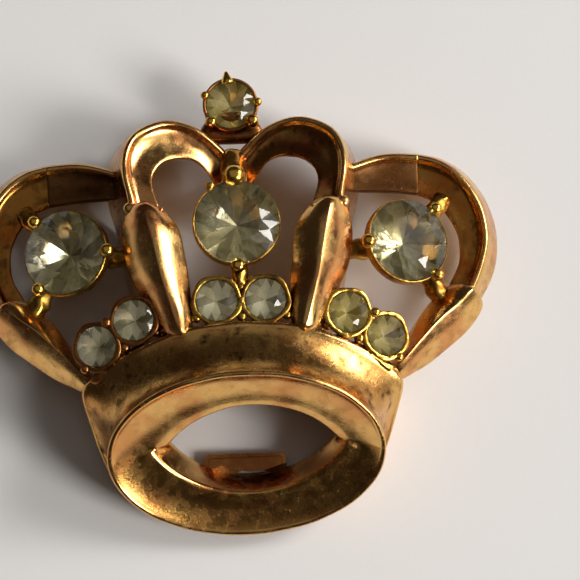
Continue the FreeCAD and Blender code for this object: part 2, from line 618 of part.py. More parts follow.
# ---------------------------------------------------------------- assembly
def build():
    """Every piece in place, as a dictionary of node name to solid."""
    pieces = {}
    band = base_band()
    pieces["base_band"] = band

    inner_leaf = cut_clear(leaf(INNER_LEAF, 0.9), band)
    outer_leaf = cut_clear(leaf(OUTER_LEAF, 1.5), band)
    inner_arch = largest(strap(INNER_ARCH).common(front_space(0)))
    inner_arch = cut_clear(inner_arch, band, inner_leaf)
    outer_arch = cut_clear(strap(OUTER_ARCH), outer_leaf)
    bridge = cut_clear(strap(BRIDGE_STRAP), inner_arch, outer_arch)
    right_side = {"inner_leaf": inner_leaf, "outer_leaf": outer_leaf, "inner_arch": inner_arch,
                  "outer_arch": outer_arch, "bridge_strap": bridge}

    side_stone = stone(LARGE_STONE, SIDE_AT, SIDE_AXIS)
    side_cup = cut_clear(side_setting(), side_stone, inner_arch, outer_arch, outer_leaf)
    side_prongs = beads(LARGE_STONE, SIDE_AT, SIDE_AXIS, SIDE_BEADS)
    side_prongs = side_prongs.cut(side_stone).cut(side_cup).cut(inner_arch).cut(outer_arch).cut(outer_leaf)
    pair_stones = [stone(SMALL_STONE, at, unit(axis)) for at, axis in SIDE_PAIR]
    side_plate = pair_plate(SIDE_PAIR, SIDE_ROOTS)
    side_plate = cut_clear(side_plate, band, inner_leaf, outer_leaf, inner_arch, *pair_stones)
    right_side["setting"] = side_cup
    right_side["prongs"] = side_prongs
    right_side["stone"] = side_stone
    right_side["pair_plate"] = side_plate
    right_side["pair_stone_inner"] = pair_stones[0]
    right_side["pair_stone_outer"] = pair_stones[1]
    for name, shape in right_side.items():
        is_casting = name in ("inner_leaf", "outer_leaf", "inner_arch", "outer_arch", "bridge_strap")
        for side, copy in (("right", shape), ("left", mirrored(shape))):
            node = f"{name}_{side}" if is_casting else f"{side}_{name}"
            pieces[node] = copy

    arches = [pieces["inner_arch_left"], pieces["inner_arch_right"]]
    leaves = [pieces["inner_leaf_left"], pieces["inner_leaf_right"]]
    centre_stone = stone(LARGE_STONE, CENTRE_AT, CENTRE_AXIS)
    pair = [stone(SMALL_STONE, at, unit(axis)) for at, axis in CENTRE_PAIR]
    plate = pair_plate(CENTRE_PAIR, CENTRE_ROOTS)
    plate = cut_clear(plate, band, *leaves, *arches, *pair)
    setting = cut_clear(centre_setting(), centre_stone, *arches, plate)
    prongs = beads(LARGE_STONE, CENTRE_AT, CENTRE_AXIS, CENTRE_BEADS)
    prongs = prongs.cut(centre_stone).cut(setting).cut(arches[0]).cut(arches[1]).cut(plate)
    top = stone(TOP_STONE, TOP_AT, TOP_AXIS)
    saddle = cut_clear(top_setting(), top, *arches)
    claws = top_prongs().cut(top).cut(saddle).cut(arches[0]).cut(arches[1])
    pieces.update({"centre_stone": centre_stone, "centre_setting": setting, "centre_prongs": prongs,
                   "centre_pair_plate": plate, "centre_pair_stone_left": pair[0],
                   "centre_pair_stone_right": pair[1], "top_stone": top, "top_setting": saddle,
                   "top_prongs": claws})

    pieces["blank_back_plate"] = cut_clear(blank_back_plate(), band)
    pieces["pin_bar"] = cut_clear(pin_bar(), band)
    pieces["pin_joint"] = pin_joint()
    pieces["joint_rivet"] = joint_rivet()
    pieces["pin_stem"] = pin_stem()
    pieces["catch_body"] = catch_body()
    pieces["catch_rotor"] = catch_rotor()
    return pieces


def main():
    os.makedirs(PARTS_FOLDER, exist_ok=True)
    for node, shape in build().items():
        shape.exportStep(os.path.join(PARTS_FOLDER, node + ".step"))
        print(f"{node:26s} solids {len(shape.Solids)} volume {shape.Volume:9.3f} valid {shape.isValid()}")


main()
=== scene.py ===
import math

import bpy
from mathutils import Matrix, Vector, noise


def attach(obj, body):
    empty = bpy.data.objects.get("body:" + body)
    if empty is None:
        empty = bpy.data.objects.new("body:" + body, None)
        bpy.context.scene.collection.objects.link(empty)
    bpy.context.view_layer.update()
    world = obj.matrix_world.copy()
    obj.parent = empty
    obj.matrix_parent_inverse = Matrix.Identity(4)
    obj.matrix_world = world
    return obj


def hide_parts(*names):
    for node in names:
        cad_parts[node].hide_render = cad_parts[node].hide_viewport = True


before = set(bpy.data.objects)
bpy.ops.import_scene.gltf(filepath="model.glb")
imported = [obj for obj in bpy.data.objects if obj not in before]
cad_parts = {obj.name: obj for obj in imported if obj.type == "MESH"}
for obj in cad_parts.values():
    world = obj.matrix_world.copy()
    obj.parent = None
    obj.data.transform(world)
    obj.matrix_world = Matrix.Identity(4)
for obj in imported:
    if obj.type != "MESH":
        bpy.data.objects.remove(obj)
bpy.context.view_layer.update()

# A gilt crown brooch on white paper. Shapes are worked out in millimetres, and MM turns them to metres.
# x runs across, y to the crown's top and z out of the paper. What comes as a left and a right piece is one
# shape and its mirror image, though the foils and the turn of the facets can differ, and on some pieces one
# side's gilding is darker, as painted shade on the left pair's plate and painted dark reflection on the right
# inner arch.
MM = 0.001

# ---------------------------------------------------------------- driving dimensions, mm
RING_CENTRE = Vector((0.0, -14.2, 6.75))
RING_HALF_WIDTH, RING_HALF_HEIGHT = 11.5, 7.9
RING_TILT = math.radians(48.6)
RING_UP = Vector((0.0, math.sin(RING_TILT), math.cos(RING_TILT)))
RING_OUT = Vector((0.0, -math.cos(RING_TILT), math.sin(RING_TILT)))
SHELL = 1.0                                             # wall of the hollow castings
LARGE_STONE, TOP_STONE, SMALL_STONE = 3.55, 2.15, 1.7   # radii at the girdle
STRAP_SPACING, LEAF_SPACING = 0.5, 0.30                 # between neighbouring sections
NOISE_SEED = 1

noise.seed_set(NOISE_SEED)    # unseeded, the noise vectors would change from run to run


# ---------------------------------------------------------------- curves and meshes
def between(a, b, t):
    return a.lerp(b, t)


def on_curve(points, knots, place):
    """A point on the cubic curve through the points, whose slopes follow their neighbours."""
    last = len(points) - 1
    i = max(k for k in range(last) if knots[k] <= place + 1e-9)

    def slope(k):
        if k in (0, last):
            a, b = (0, 1) if k == 0 else (last - 1, last)
            return (points[b] - points[a]) / (knots[b] - knots[a])
        before, after = knots[k] - knots[k - 1], knots[k + 1] - knots[k]
        rise_after = (points[k + 1] - points[k]) / after * before
        rise_before = (points[k] - points[k - 1]) / before * after
        return (rise_after + rise_before) / (before + after)

    span = knots[i + 1] - knots[i]
    t = (place - knots[i]) / span
    return (points[i] * (2 * t**3 - 3 * t**2 + 1) + slope(i) * (t**3 - 2 * t**2 + t) * span
            + points[i + 1] * (3 * t**2 - 2 * t**3) + slope(i + 1) * (t**3 - t**2) * span)


def even_stations(stations, spacing):
    """More stations at an even spacing, on smooth curves through the given ones."""
    stations = [tuple(Vector(p) for p in station) for station in stations]
    knots = [0.0]
    for before, after in zip(stations, stations[1:]):
        knots.append(knots[-1] + max((before[k] - after[k]).length for k in range(3)))
    count = max(4, round(knots[-1] / spacing))
    places = [knots[-1] * i / count for i in range(count + 1)]
    return [tuple(on_curve([s[k] for s in stations], knots, place) for k in range(3)) for place in places]


def cross_axes(start, end, third):
    """Two square directions in the plane of three points: from start to end, and away from the third."""
    across = (end - start).normalized()
    away = end - third
    return across, (away - across * away.dot(across)).normalized()


def make_piece(name, points, faces, material, slot, nodes, flat=False, levels=0, body="brooch", choose=None):
    """A mesh in millimetres as a finished piece that rides on a body and stands for CAD nodes.

    With a list of materials, choose gives the place in the list for each face number.
    """
    mesh = bpy.data.meshes.new(name)
    mesh.from_pydata([tuple(p * MM for p in point) for point in points], [], faces)
    mesh.validate()
    mesh.update()
    for polygon in mesh.polygons:
        polygon.use_smooth = not flat
    piece = bpy.data.objects.new(name, mesh)
    bpy.context.scene.collection.objects.link(piece)
    for one in (material if isinstance(material, list) else [material]):
        mesh.materials.append(one)
    if choose:
        for index, polygon in enumerate(mesh.polygons):
            polygon.material_index = choose(index)
    if levels:
        smooth = piece.modifiers.new("subdivision", "SUBSURF")
        smooth.levels = smooth.render_levels = levels
    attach(piece, body)
    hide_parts(*nodes)
    return piece


def skin(rings, closed):
    """Points and faces of a surface through rings of equal length; open ends get a cap."""
    count = len(rings[0])
    points = [point for ring in rings for point in ring]
    faces = []
    for i in range(len(rings) if closed else len(rings) - 1):
        j = (i + 1) % len(rings)
        for k in range(count):
            m = (k + 1) % count
            faces.append((i * count + k, i * count + m, j * count + m, j * count + k))
    if not closed:
        faces.append(tuple(reversed(range(count))))
        faces.append(tuple(range((len(rings) - 1) * count, len(rings) * count)))
    return points, facing_out(points, faces)


def facing_out(points, faces):
    """The faces of a closed surface, turned so that they look outwards."""
    volume = 0.0
    for face in faces:
        for a, b in zip(face[1:], face[2:]):
            volume += points[face[0]].dot(points[a].cross(points[b]))
    return faces if volume > 0 else [tuple(reversed(face)) for face in faces]


def mirror(points, faces):
    return [Vector((-p[0], p[1], p[2])) for p in points], [tuple(reversed(face)) for face in faces]


def cast_surface(points, amount, scale, seed=0.0):
    """A little unevenness, as hand polishing leaves on a casting."""
    shifted = []
    for point in points:
        shift = noise.noise_vector(Vector(point) * scale + Vector((seed, seed, seed)))
        shifted.append(Vector(point) + shift * amount)
    return shifted


# ---------------------------------------------------------------- materials
def new_material(name):
    material = bpy.data.materials.new(name)
    material.use_nodes = True
    return material, material.node_tree.nodes, material.node_tree.links


def link_noise(nodes, links, coordinates, scale, detail=4.0, roughness=0.55):
    texture = nodes.new("ShaderNodeTexNoise")
    texture.inputs["Scale"].default_value = scale
    texture.inputs["Detail"].default_value = detail
    texture.inputs["Roughness"].default_value = roughness
    links.new(coordinates.outputs["Object"], texture.inputs["Vector"])
    return texture.outputs["Fac"]


def link_cells(nodes, links, coordinates, scale):
    """The distance from the middle of the nearest of many small cells."""
    texture = nodes.new("ShaderNodeTexVoronoi")
    texture.inputs["Scale"].default_value = scale
    links.new(coordinates.outputs["Object"], texture.inputs["Vector"])
    return texture.outputs["Distance"]


def ramp(nodes, links, source, low, high, low_value=0.0, high_value=1.0):
    """A value that goes from low_value to high_value as the source goes from low to high."""
    node = nodes.new("ShaderNodeMapRange")
    node.interpolation_type = "SMOOTHSTEP"
    settings = {"From Min": low, "From Max": high, "To Min": low_value, "To Max": high_value}
    for socket, value in settings.items():
        node.inputs[socket].default_value = value
    links.new(source, node.inputs["Value"])
    return node.outputs["Result"]


def math_node(nodes, links, operation, first, second):
    """A sum on two sockets or numbers, kept between 0 and 1."""
    node = nodes.new("ShaderNodeMath")
    node.operation = operation
    node.use_clamp = True
    for index, value in enumerate((first, second)):
        if isinstance(value, (int, float)):
            node.inputs[index].default_value = value
        else:
            links.new(value, node.inputs[index])
    return node.outputs["Value"]


def mix_colours(nodes, links, factor, first, second):
    node = nodes.new("ShaderNodeMix")
    node.data_type = "RGBA"
    links.new(factor, node.inputs["Factor"])
    for socket, value in (("A", first), ("B", second)):
        target = [i for i in node.inputs if i.name == socket and i.type == "RGBA"][0]
        if isinstance(value, tuple):
            target.default_value = (*value, 1.0)
        else:
            links.new(value, target)
    return [o for o in node.outputs if o.type == "RGBA"][0]


YELLOW = (0.85, 0.50, 0.17)
ROSE = (0.74, 0.34, 0.12)
# The dark colour of the tarnished stains, also used for the painted shade in the hollows.
TARNISH_AND_SHADE = (0.060, 0.024, 0.008)
DUST = (0.80, 0.72, 0.58)
BROAD, MIDDLE, FINE = 260, 900, 5200    # noise scales of the patches, the stains and the grain, per metre
GRAINS, SPECKS = 2600, 3600             # dust grains and pits, per metre
# HOLLOW_REACH sets how far the occlusion that paints shade into the hollows looks.
HOLLOW_REACH = 0.0016                   # metres within which a neighbouring surface makes a hollow
PIT_DEPTH = 0.00006                     # metres


def gold(name, bright, rose, stain_and_shade_amount, stain_and_shade_colour=TARNISH_AND_SHADE, roughness=0.16, pits=0.25, patches=0.5,
         dust=0.0):
    """Worn gold plate: yellow to rose in patches, tarnished stains, patchy painted shade in the hollows, fine
    pits and pale dust.
    """
    material, nodes, links = new_material(name)
    shader = nodes["Principled BSDF"]
    shader.inputs["Metallic"].default_value = 1.0
    coordinates = nodes.new("ShaderNodeTexCoord")

    broad = link_noise(nodes, links, coordinates, BROAD, detail=3.0)
    middle = link_noise(nodes, links, coordinates, MIDDLE, detail=5.0, roughness=0.6)
    fine = link_noise(nodes, links, coordinates, FINE, roughness=0.65)
    colour = mix_colours(nodes, links, ramp(nodes, links, broad, 0.40, 0.62), bright, rose)

    # Painted shade: where the occlusion finds neighbouring surfaces, the colour goes dark in patches.
    hollow = nodes.new("ShaderNodeAmbientOcclusion")
    hollow.samples = 6
    hollow.inputs["Distance"].default_value = HOLLOW_REACH
    shade = ramp(nodes, links, hollow.outputs["AO"], 0.25, 0.85, 1.0, 0.0)
    stain = ramp(nodes, links, middle, 0.45, 0.75)
    patchy_hollow_shade = math_node(nodes, links, "MULTIPLY", shade, ramp(nodes, links, middle, 0.30, 0.60, 0.35, 1.0))
    patchy_hollow_shade = math_node(nodes, links, "MULTIPLY", patchy_hollow_shade, stain_and_shade_amount)
    film = math_node(nodes, links, "MULTIPLY", stain, patches * stain_and_shade_amount)
    colour = mix_colours(nodes, links, math_node(nodes, links, "MAXIMUM", patchy_hollow_shade, film), colour, stain_and_shade_colour)
    if dust:
        grain = ramp(nodes, links, link_cells(nodes, links, coordinates, GRAINS), 0.06, 0.20, dust, 0.0)
        grain = math_node(nodes, links, "MULTIPLY", grain, ramp(nodes, links, fine, 0.52, 0.60))
        colour = mix_colours(nodes, links, grain, colour, DUST)
    links.new(colour, shader.inputs["Base Color"])

    gloss = ramp(nodes, links, middle, 0.35, 0.70, roughness, roughness + 0.16)
    links.new(gloss, shader.inputs["Roughness"])

    pit = ramp(nodes, links, link_cells(nodes, links, coordinates, SPECKS), 0.05, 0.30)
    pit_places = ramp(nodes, links, middle, 0.50, 0.66)
    pit_depth = math_node(nodes, links, "MULTIPLY", math_node(nodes, links, "SUBTRACT", 1.0, pit), pit_places)
    height = math_node(nodes, links, "SUBTRACT", math_node(nodes, links, "MULTIPLY", fine, 0.5), pit_depth)
    bump = nodes.new("ShaderNodeBump")
    bump.inputs["Strength"].default_value = pits
    bump.inputs["Distance"].default_value = PIT_DEPTH
    links.new(height, bump.inputs["Height"])
    links.new(bump.outputs["Normal"], shader.inputs["Normal"])
    return material


def glass(name, tint):
    """Old clear glass, a little scratched."""
    material, nodes, links = new_material(name)
    shader = nodes["Principled BSDF"]
    shader.inputs["Transmission Weight"].default_value = 1.0
    shader.inputs["IOR"].default_value = 1.54
    coordinates = nodes.new("ShaderNodeTexCoord")
    cloud = link_noise(nodes, links, coordinates, scale=1400)
    links.new(ramp(nodes, links, cloud, 0.55, 0.80, 0.0, 0.03), shader.inputs["Roughness"])
    pale = tuple(min(1.0, c * 1.04) for c in tint)
    links.new(mix_colours(nodes, links, cloud, pale, tint), shader.inputs["Base Color"])
    return material


def foil(name, light, dark, roughness, metallic=1.0):
    """The worn mirror foil on a stone's back: silvery, with dull and brown patches."""
    material, nodes, links = new_material(name)
    shader = nodes["Principled BSDF"]
    shader.inputs["Metallic"].default_value = metallic
    coordinates = nodes.new("ShaderNodeTexCoord")
    worn = link_noise(nodes, links, coordinates, scale=700, detail=5.0, roughness=0.65)
    colour = mix_colours(nodes, links, ramp(nodes, links, worn, 0.42, 0.62), light, dark)
    links.new(colour, shader.inputs["Base Color"])
    links.new(ramp(nodes, links, worn, 0.45, 0.70, roughness, roughness + 0.10), shader.inputs["Roughness"])
    return material


CASTING = gold("gilt_casting", YELLOW, ROSE, stain_and_shade_amount=0.8)
# Painted dark reflection: the outer arches' dishes are far darker than their lips, with tarnished patches as
# well.
ARCH_DISH_GILT_PAINTED_DARK = gold("gilt_arch_painted_dark_reflection", (0.46, 0.20, 0.040), (0.44, 0.13, 0.022), stain_and_shade_amount=1.0, patches=0.8)
# Painted dark reflection: a dark ruddy gold for the right inner arch's dish only.
RUDDY_GILT_PAINTED_DARK = gold("gilt_ruddy_painted_dark_reflection", (0.54, 0.26, 0.07), (0.40, 0.12, 0.04), stain_and_shade_amount=1.0, patches=0.9)
BAND_GILT = gold("gilt_band", (0.82, 0.48, 0.16), (0.70, 0.33, 0.11), stain_and_shade_amount=0.6, patches=0.15)
# Painted dark reflection and patina: the lower half of the band's dished face is darker than the upper half.
LOWER_FACE_GILT_PATINA_AND_PAINTED_DARK = gold("gilt_lower_face_patina_and_painted_dark_reflection", (0.54, 0.29, 0.08), (0.42, 0.18, 0.05), stain_and_shade_amount=1.0,
                       pits=1.0, roughness=0.20, patches=0.6)
WALL_GILT = gold("gilt_wall", (0.76, 0.43, 0.13), (0.58, 0.28, 0.08), stain_and_shade_amount=1.0, pits=0.6,
                 roughness=0.20, patches=1.0, dust=0.9)
# Painted dark reflection: the bridge straps' dishes are near black so they don't show the lights; the dust is
# real.
STRAP_GILT_PAINTED_DARK = gold("gilt_strap_painted_dark_reflection", (0.16, 0.072, 0.024), (0.11, 0.042, 0.012), stain_and_shade_amount=1.0, pits=1.0,
                  roughness=0.40, patches=0.9, dust=0.5)
PLATE_GILT = gold("gilt_plate", (0.62, 0.38, 0.07), (0.40, 0.19, 0.035), stain_and_shade_amount=1.0, pits=0.5,
                  roughness=0.24, patches=0.9)
SETTING_GILT = gold("gilt_settings", (0.86, 0.52, 0.10), (0.78, 0.38, 0.07), stain_and_shade_amount=0.8)
# Painted shade: a darker gold for the top cup, the left pair's plate and the blank plate in the ring's
# hollow.
SHADED_GILT = gold("gilt_painted_shade", (0.52, 0.22, 0.06), (0.34, 0.12, 0.035), stain_and_shade_amount=1.0, roughness=0.24)
HARDWARE_GILT = gold("gilt_hardware", (0.78, 0.50, 0.20), (0.66, 0.38, 0.15), stain_and_shade_amount=0.6,
                     roughness=0.26)
STEEL = gold("plated_steel", (0.78, 0.70, 0.54), (0.70, 0.58, 0.40), stain_and_shade_amount=0.4,
             stain_and_shade_colour=(0.20, 0.16, 0.11), roughness=0.22)
CLEAR = glass("clear_glass", (0.96, 0.95, 0.82))
GREENISH = glass("greenish_glass", (0.95, 0.94, 0.76))
FOILS = [foil("bright_foil", (1.0, 0.97, 0.82), (0.90, 0.84, 0.62), 0.18),
         foil("worn_foil", (0.84, 0.79, 0.60), (0.64, 0.58, 0.38), 0.28),
         foil("dull_foil", (0.52, 0.47, 0.32), (0.32, 0.28, 0.17), 0.34)]
SOFT_FOILS = [foil("bright_soft_foil", (0.84, 0.80, 0.66), (0.70, 0.66, 0.52), 0.30, metallic=0.4),
              foil("worn_soft_foil", (0.58, 0.54, 0.42), (0.44, 0.40, 0.28), 0.36, metallic=0.4),
              foil("dull_soft_foil", (0.36, 0.33, 0.24), (0.24, 0.21, 0.13), 0.40, metallic=0.4)]
WARM_FOILS = [foil("bright_warm_foil", (0.80, 0.72, 0.42), (0.66, 0.56, 0.28), 0.32, metallic=0.5),
              foil("worn_warm_foil", (0.60, 0.51, 0.24), (0.46, 0.37, 0.15), 0.38, metallic=0.5),
              foil("dull_warm_foil", (0.38, 0.31, 0.12), (0.26, 0.20, 0.07), 0.42, metallic=0.5)]


# ---------------------------------------------------------------- base band
# The ridge and the outline of the back edge, by angle around the right half of the ring.
RIDGE = {90: (0, -3.5, 9.5), 70: (4.7, -3.95, 9.2), 50: (8.7, -5.2, 8.2), 30: (11.7, -6.6, 6.6),
         15: (13.4, -7.9, 5.1), 0: (12.8, -10.6, 3.2), -15: (12.0, -13.0, 2.1),
         -30: (10.8, -15.3, 1.3), -50: (8.0, -17.7, 0.8), -70: (4.3, -19.1, 0.55), -90: (0, -19.6, 0.5)}
BACK = {90: (0, -4.1, 0), 70: (4.5, -4.5, 0), 50: (8.2, -5.7, 0), 30: (11.0, -7.1, 0),
        15: (12.5, -8.7, 0), 0: (12.2, -11.0, 0), -15: (11.5, -13.2, 0), -30: (10.4, -15.2, 0),
        -50: (7.8, -17.4, 0), -70: (4.2, -18.7, 0), -90: (0, -19.1, 0)}
FACE_EDGE_HALF_WIDTH = 8.3    # where the lower face bends, beside the opening
FACE_EDGE_DEPTH = 1.05        # and how far behind the rim's plane it does
THROAT_HALF_WIDTH = 7.0       # the opening's edge
THROAT_TOP, THROAT_BOTTOM = 4.0, -4.2
THROAT_DEPTH = 1.7
OPENING_SHIFT = 0.6           # the opening sits a little to the right of the ring's centre
CORNER_UP = 0.4               # height of the opening's two corners
BAND_BACK = 0.06              # the band's back, a little in front of the blank plate's back
BEAD_RADIUS = 0.45            # the rounded moulding along the ridge
BEAD_STANDS = 0.16            # how far the moulding stands above the ridge
BEAD_TURNS = (-95, -60, -25, 10, 45, 80, 105)
WALL_PLACES = (0.26, 0.45, 0.66, 0.84)
FACE_DIPS = ((0.3, 0.20), (0.65, 0.22))
BAND_STATIONS = 160
UPPER_START, UPPER_END = 0.245, 0.755    # shares of the way round where the upper half starts and ends
WALL_FACES = range(8, 14)     # of a section's faces, those between the moulding and the rim
LOWER_FACES = range(18, 22)   # and those between the rim and the bend beside the opening
CORE = RING_CENTRE - 3 * RING_OUT
MIDDLE_OF_BACK = Vector((0, -11.5, 0))


def on_ring(x, up, out):
    """A point in the tilted ring's own coordinates."""
    return RING_CENTRE + Vector((x, 0, 0)) + up * RING_UP + out * RING_OUT


def table_point(table, angle):
    angles = sorted(table)
    return on_curve([Vector(table[a]) for a in angles], angles, angle)


def arc_height(x, half_width, apex):
    """The height of an arc that spans the opening between its corners, at x."""
    rise = abs(apex - CORNER_UP)
    radius = (half_width**2 + rise**2) / (2 * rise)
    fall = radius - math.sqrt(radius**2 - min(x * x, half_width**2))
    return apex - math.copysign(fall, apex)


def opening_edges(turn, shift, rim):
    """The points of a section where its face ends at the opening, and where it bends just before."""
    upper = turn >= 0
    lower_share = max(0.0, -math.sin(turn))
    throat_x = THROAT_HALF_WIDTH * math.cos(turn)
    throat_up = arc_height(throat_x, THROAT_HALF_WIDTH, THROAT_TOP if upper else THROAT_BOTTOM)
    if upper:
        throat = on_ring(throat_x + shift, throat_up, 0.3 * math.sin(turn) - THROAT_DEPTH)
        return throat, between(rim(0.6, -0.3), throat, 0.74 + 0.14 * math.sin(turn))
    throat = on_ring(throat_x + shift, throat_up - 0.7 * lower_share, -THROAT_DEPTH - 3.1 * lower_share)
    face_x = FACE_EDGE_HALF_WIDTH * math.cos(turn)
    face_up = arc_height(face_x, FACE_EDGE_HALF_WIDTH, THROAT_BOTTOM)
    face_edge = on_ring(face_x + shift / 2, face_up, -FACE_EDGE_DEPTH)
    upper_style = between(rim(0.6, -0.3), on_ring(throat_x + shift, throat_up, -THROAT_DEPTH), 0.74)
    return throat, between(upper_style, face_edge, min(1.0, lower_share * 5))


def side_points(back, ridge, outward, sideways, bead):
    """From the back edge up the side and round the moulding."""
    radius = BEAD_RADIUS * bead
    middle = ridge + outward * (BEAD_STANDS - radius)
    turns = [math.radians(turn) for turn in BEAD_TURNS]
    moulding = [middle + radius * (math.cos(turn) * outward + math.sin(turn) * sideways) for turn in turns]
    return [back, between(back, ridge, 0.55), between(back, ridge, 0.86) - 0.06 * bead * outward, *moulding]


def face_points(start, face_edge, throat):
    """Down the dished face, round its bend and on to the opening's edge."""
    dished = [between(start, face_edge, t) - dip * RING_OUT for t, dip in FACE_DIPS]
    inward = (throat - face_edge).normalized()
    return [*dished, face_edge - 0.16 * inward, face_edge + 0.12 * inward,
            between(face_edge, throat, 0.6), throat]


def under_points(throat, ridge, back, rim, outward, lower_share):
    """Behind the opening's edge and back along the hollow underside."""
    tunnel = throat - (1.4 - 1.2 * lower_share) * RING_OUT
    tunnel_back = tunnel + 0.9 * (rim(0, 0) - throat).normalized()
    back_inside = back + (MIDDLE_OF_BACK - back).normalized() * SHELL
    under_rim = between(rim(0.6, 0), throat, 0.35) - 1.4 * RING_OUT
    under_ridge = ridge - outward * SHELL * 1.15
    share = 0.1 + 0.9 * (1 - lower_share)
    first = between(between(tunnel_back, back_inside, 0.33), under_rim, share)
    second = between(between(tunnel_back, back_inside, 0.66), under_ridge, share)
    return [throat - 0.25 * RING_OUT, tunnel, tunnel_back, first, second,
            between(second, back_inside, 0.8), back_inside]


def band_ring(angle, shift):
    """The band's section at one angle on the right half: side, wall, lip, face and underside."""
    turn = math.radians(angle)
    lower_share = max(0.0, -math.sin(turn))
    rim_x, rim_up = RING_HALF_WIDTH * math.cos(turn), RING_HALF_HEIGHT * math.sin(turn)
    size = math.hypot(rim_x, rim_up)

    def rim(inward, out):
        share = 1 - inward / size
        return on_ring(rim_x * share, rim_up * share, out)

    throat, face_edge = opening_edges(turn, shift, rim)
    ridge, back = table_point(RIDGE, angle), table_point(BACK, angle)
    outward = (ridge - CORE).normalized()
    along = (rim(0, 0) - ridge).normalized()
    sideways = (along - outward * along.dot(outward)).normalized()
    bead = max(0.2, 1.0 - 0.9 * lower_share)
    hollow = 0.62 + 0.35 * math.cos(turn)
    wall = [between(ridge, rim(0, 0), t) - hollow * math.sin(math.pi * t) * outward for t in WALL_PLACES]
    lip = [rim(-0.02, -0.50), rim(-0.03, -0.16), rim(0.10, 0.0), rim(0.34, -0.02), rim(0.50, -0.16),
           rim(0.62, -0.30)]
    ring = [*side_points(back, ridge, outward, sideways, bead), *wall, *lip,
            *face_points(rim(0.62, -0.3), face_edge, throat),
            *under_points(throat, ridge, back, rim, outward, lower_share)]
    return above_back(ring)


def above_back(points):
    return [Vector((p.x, p.y, max(p.z, BAND_BACK))) for p in points]


def base_band():
    rings = []
    for i in range(BAND_STATIONS):
        angle = -90 + 360 * (i + 0.5) / BAND_STATIONS
        if angle <= 90:
            rings.append(band_ring(angle, OPENING_SHIFT))
        else:
            rings.append([Vector((-p.x, p.y, p.z)) for p in band_ring(180 - angle, -OPENING_SHIFT)])
    points, faces = skin(rings, closed=True)
    points = above_back(cast_surface(points, amount=0.04, scale=0.5))

    def choose(index):
        station, place = divmod(index, len(rings[0]))
        upper = UPPER_START < station / BAND_STATIONS < UPPER_END
        # The lower half's dished face takes the darker gold of painted dark reflection and patina.
        if place in LOWER_FACES and not upper:
            return 2
        return 1 if place in WALL_FACES else 0

    gilts = [BAND_GILT, WALL_GILT, LOWER_FACE_GILT_PATINA_AND_PAINTED_DARK]
    make_piece("band", points, faces, gilts, "gilt_casting", ["base_band"], levels=1, choose=choose)


# ---------------------------------------------------------------- arches and straps
# Each station holds the raised lip, the inner edge and the foot of the outer wall.
TROUGH_FACES = range(11, 18)  # of a section's faces, those from the inner edge to the lip's inside
INNER_ARCH = [
    ((6.4, -4.9, 8.0), (5.0, -4.9, 7.6), (7.2, -5.2, 0.0)),
    ((8.2, 0.0, 8.0), (5.5, 0.0, 7.8), (9.2, 0.0, 0.0)),
    ((9.2, 4.0, 8.2), (6.1, 4.0, 8.0), (10.0, 4.0, 0.0)),
    ((8.9, 7.2, 9.0), (6.4, 6.9, 8.4), (10.7, 7.6, 0.6)),
    ((9.3, 9.6, 9.1), (6.9, 8.7, 8.3), (11.3, 10.0, 1.6)),
    ((9.3, 11.7, 8.8), (6.9, 9.9, 8.0), (11.2, 12.4, 2.3)),
    ((8.4, 13.6, 8.4), (6.3, 11.0, 7.6), (9.8, 14.9, 2.8)),
    ((6.2, 14.9, 7.8), (5.1, 11.7, 7.1), (6.9, 16.1, 3.0)),
    ((4.4, 14.9, 7.3), (3.8, 11.8, 6.6), (4.3, 16.0, 3.1)),
    ((2.7, 14.2, 6.8), (2.8, 11.3, 6.1), (2.2, 15.1, 3.2)),
    ((1.4, 13.1, 6.3), (2.1, 10.4, 5.6), (0.7, 13.8, 3.2)),
    ((0.1, 11.8, 5.8), (1.3, 9.5, 5.1), (-0.7, 12.3, 3.2)),
]
OUTER_ARCH = [
    ((16.2, 12.1, 5.0), (16.1, 8.7, 4.4), (16.1, 13.2, 2.2)),
    ((18.0, 11.6, 4.9), (17.2, 8.2, 4.2), (18.7, 12.8, 2.0)),
    ((19.5, 10.6, 4.8), (18.1, 7.3, 4.1), (20.7, 11.5, 1.9)),
    ((20.9, 8.8, 4.6), (18.9, 6.1, 4.0), (22.4, 9.2, 1.8)),
    ((21.7, 6.6, 4.5), (19.35, 4.9, 3.9), (23.2, 6.8, 1.7)),
    ((21.8, 4.4, 4.4), (19.4, 3.6, 3.8), (23.3, 4.4, 1.7)),
    ((21.3, 2.3, 4.4), (19.2, 2.4, 3.8), (22.8, 2.0, 1.7)),
    ((20.5, 0.5, 4.4), (18.6, 1.2, 3.8), (21.7, 0.0, 1.7)),
    ((19.7, -0.9, 4.3), (17.9, 0.0, 3.8), (20.5, -1.6, 1.7)),
]
BRIDGE_STRAP = [
    ((9.6, 10.9, 5.7), (9.6, 8.9, 5.1), (9.6, 12.0, 2.7)),
    ((13.2, 12.1, 5.3), (13.4, 8.9, 4.7), (13.2, 13.1, 2.4)),
    ((16.3, 12.1, 5.0), (16.2, 8.7, 4.4), (16.2, 13.2, 2.2)),
]


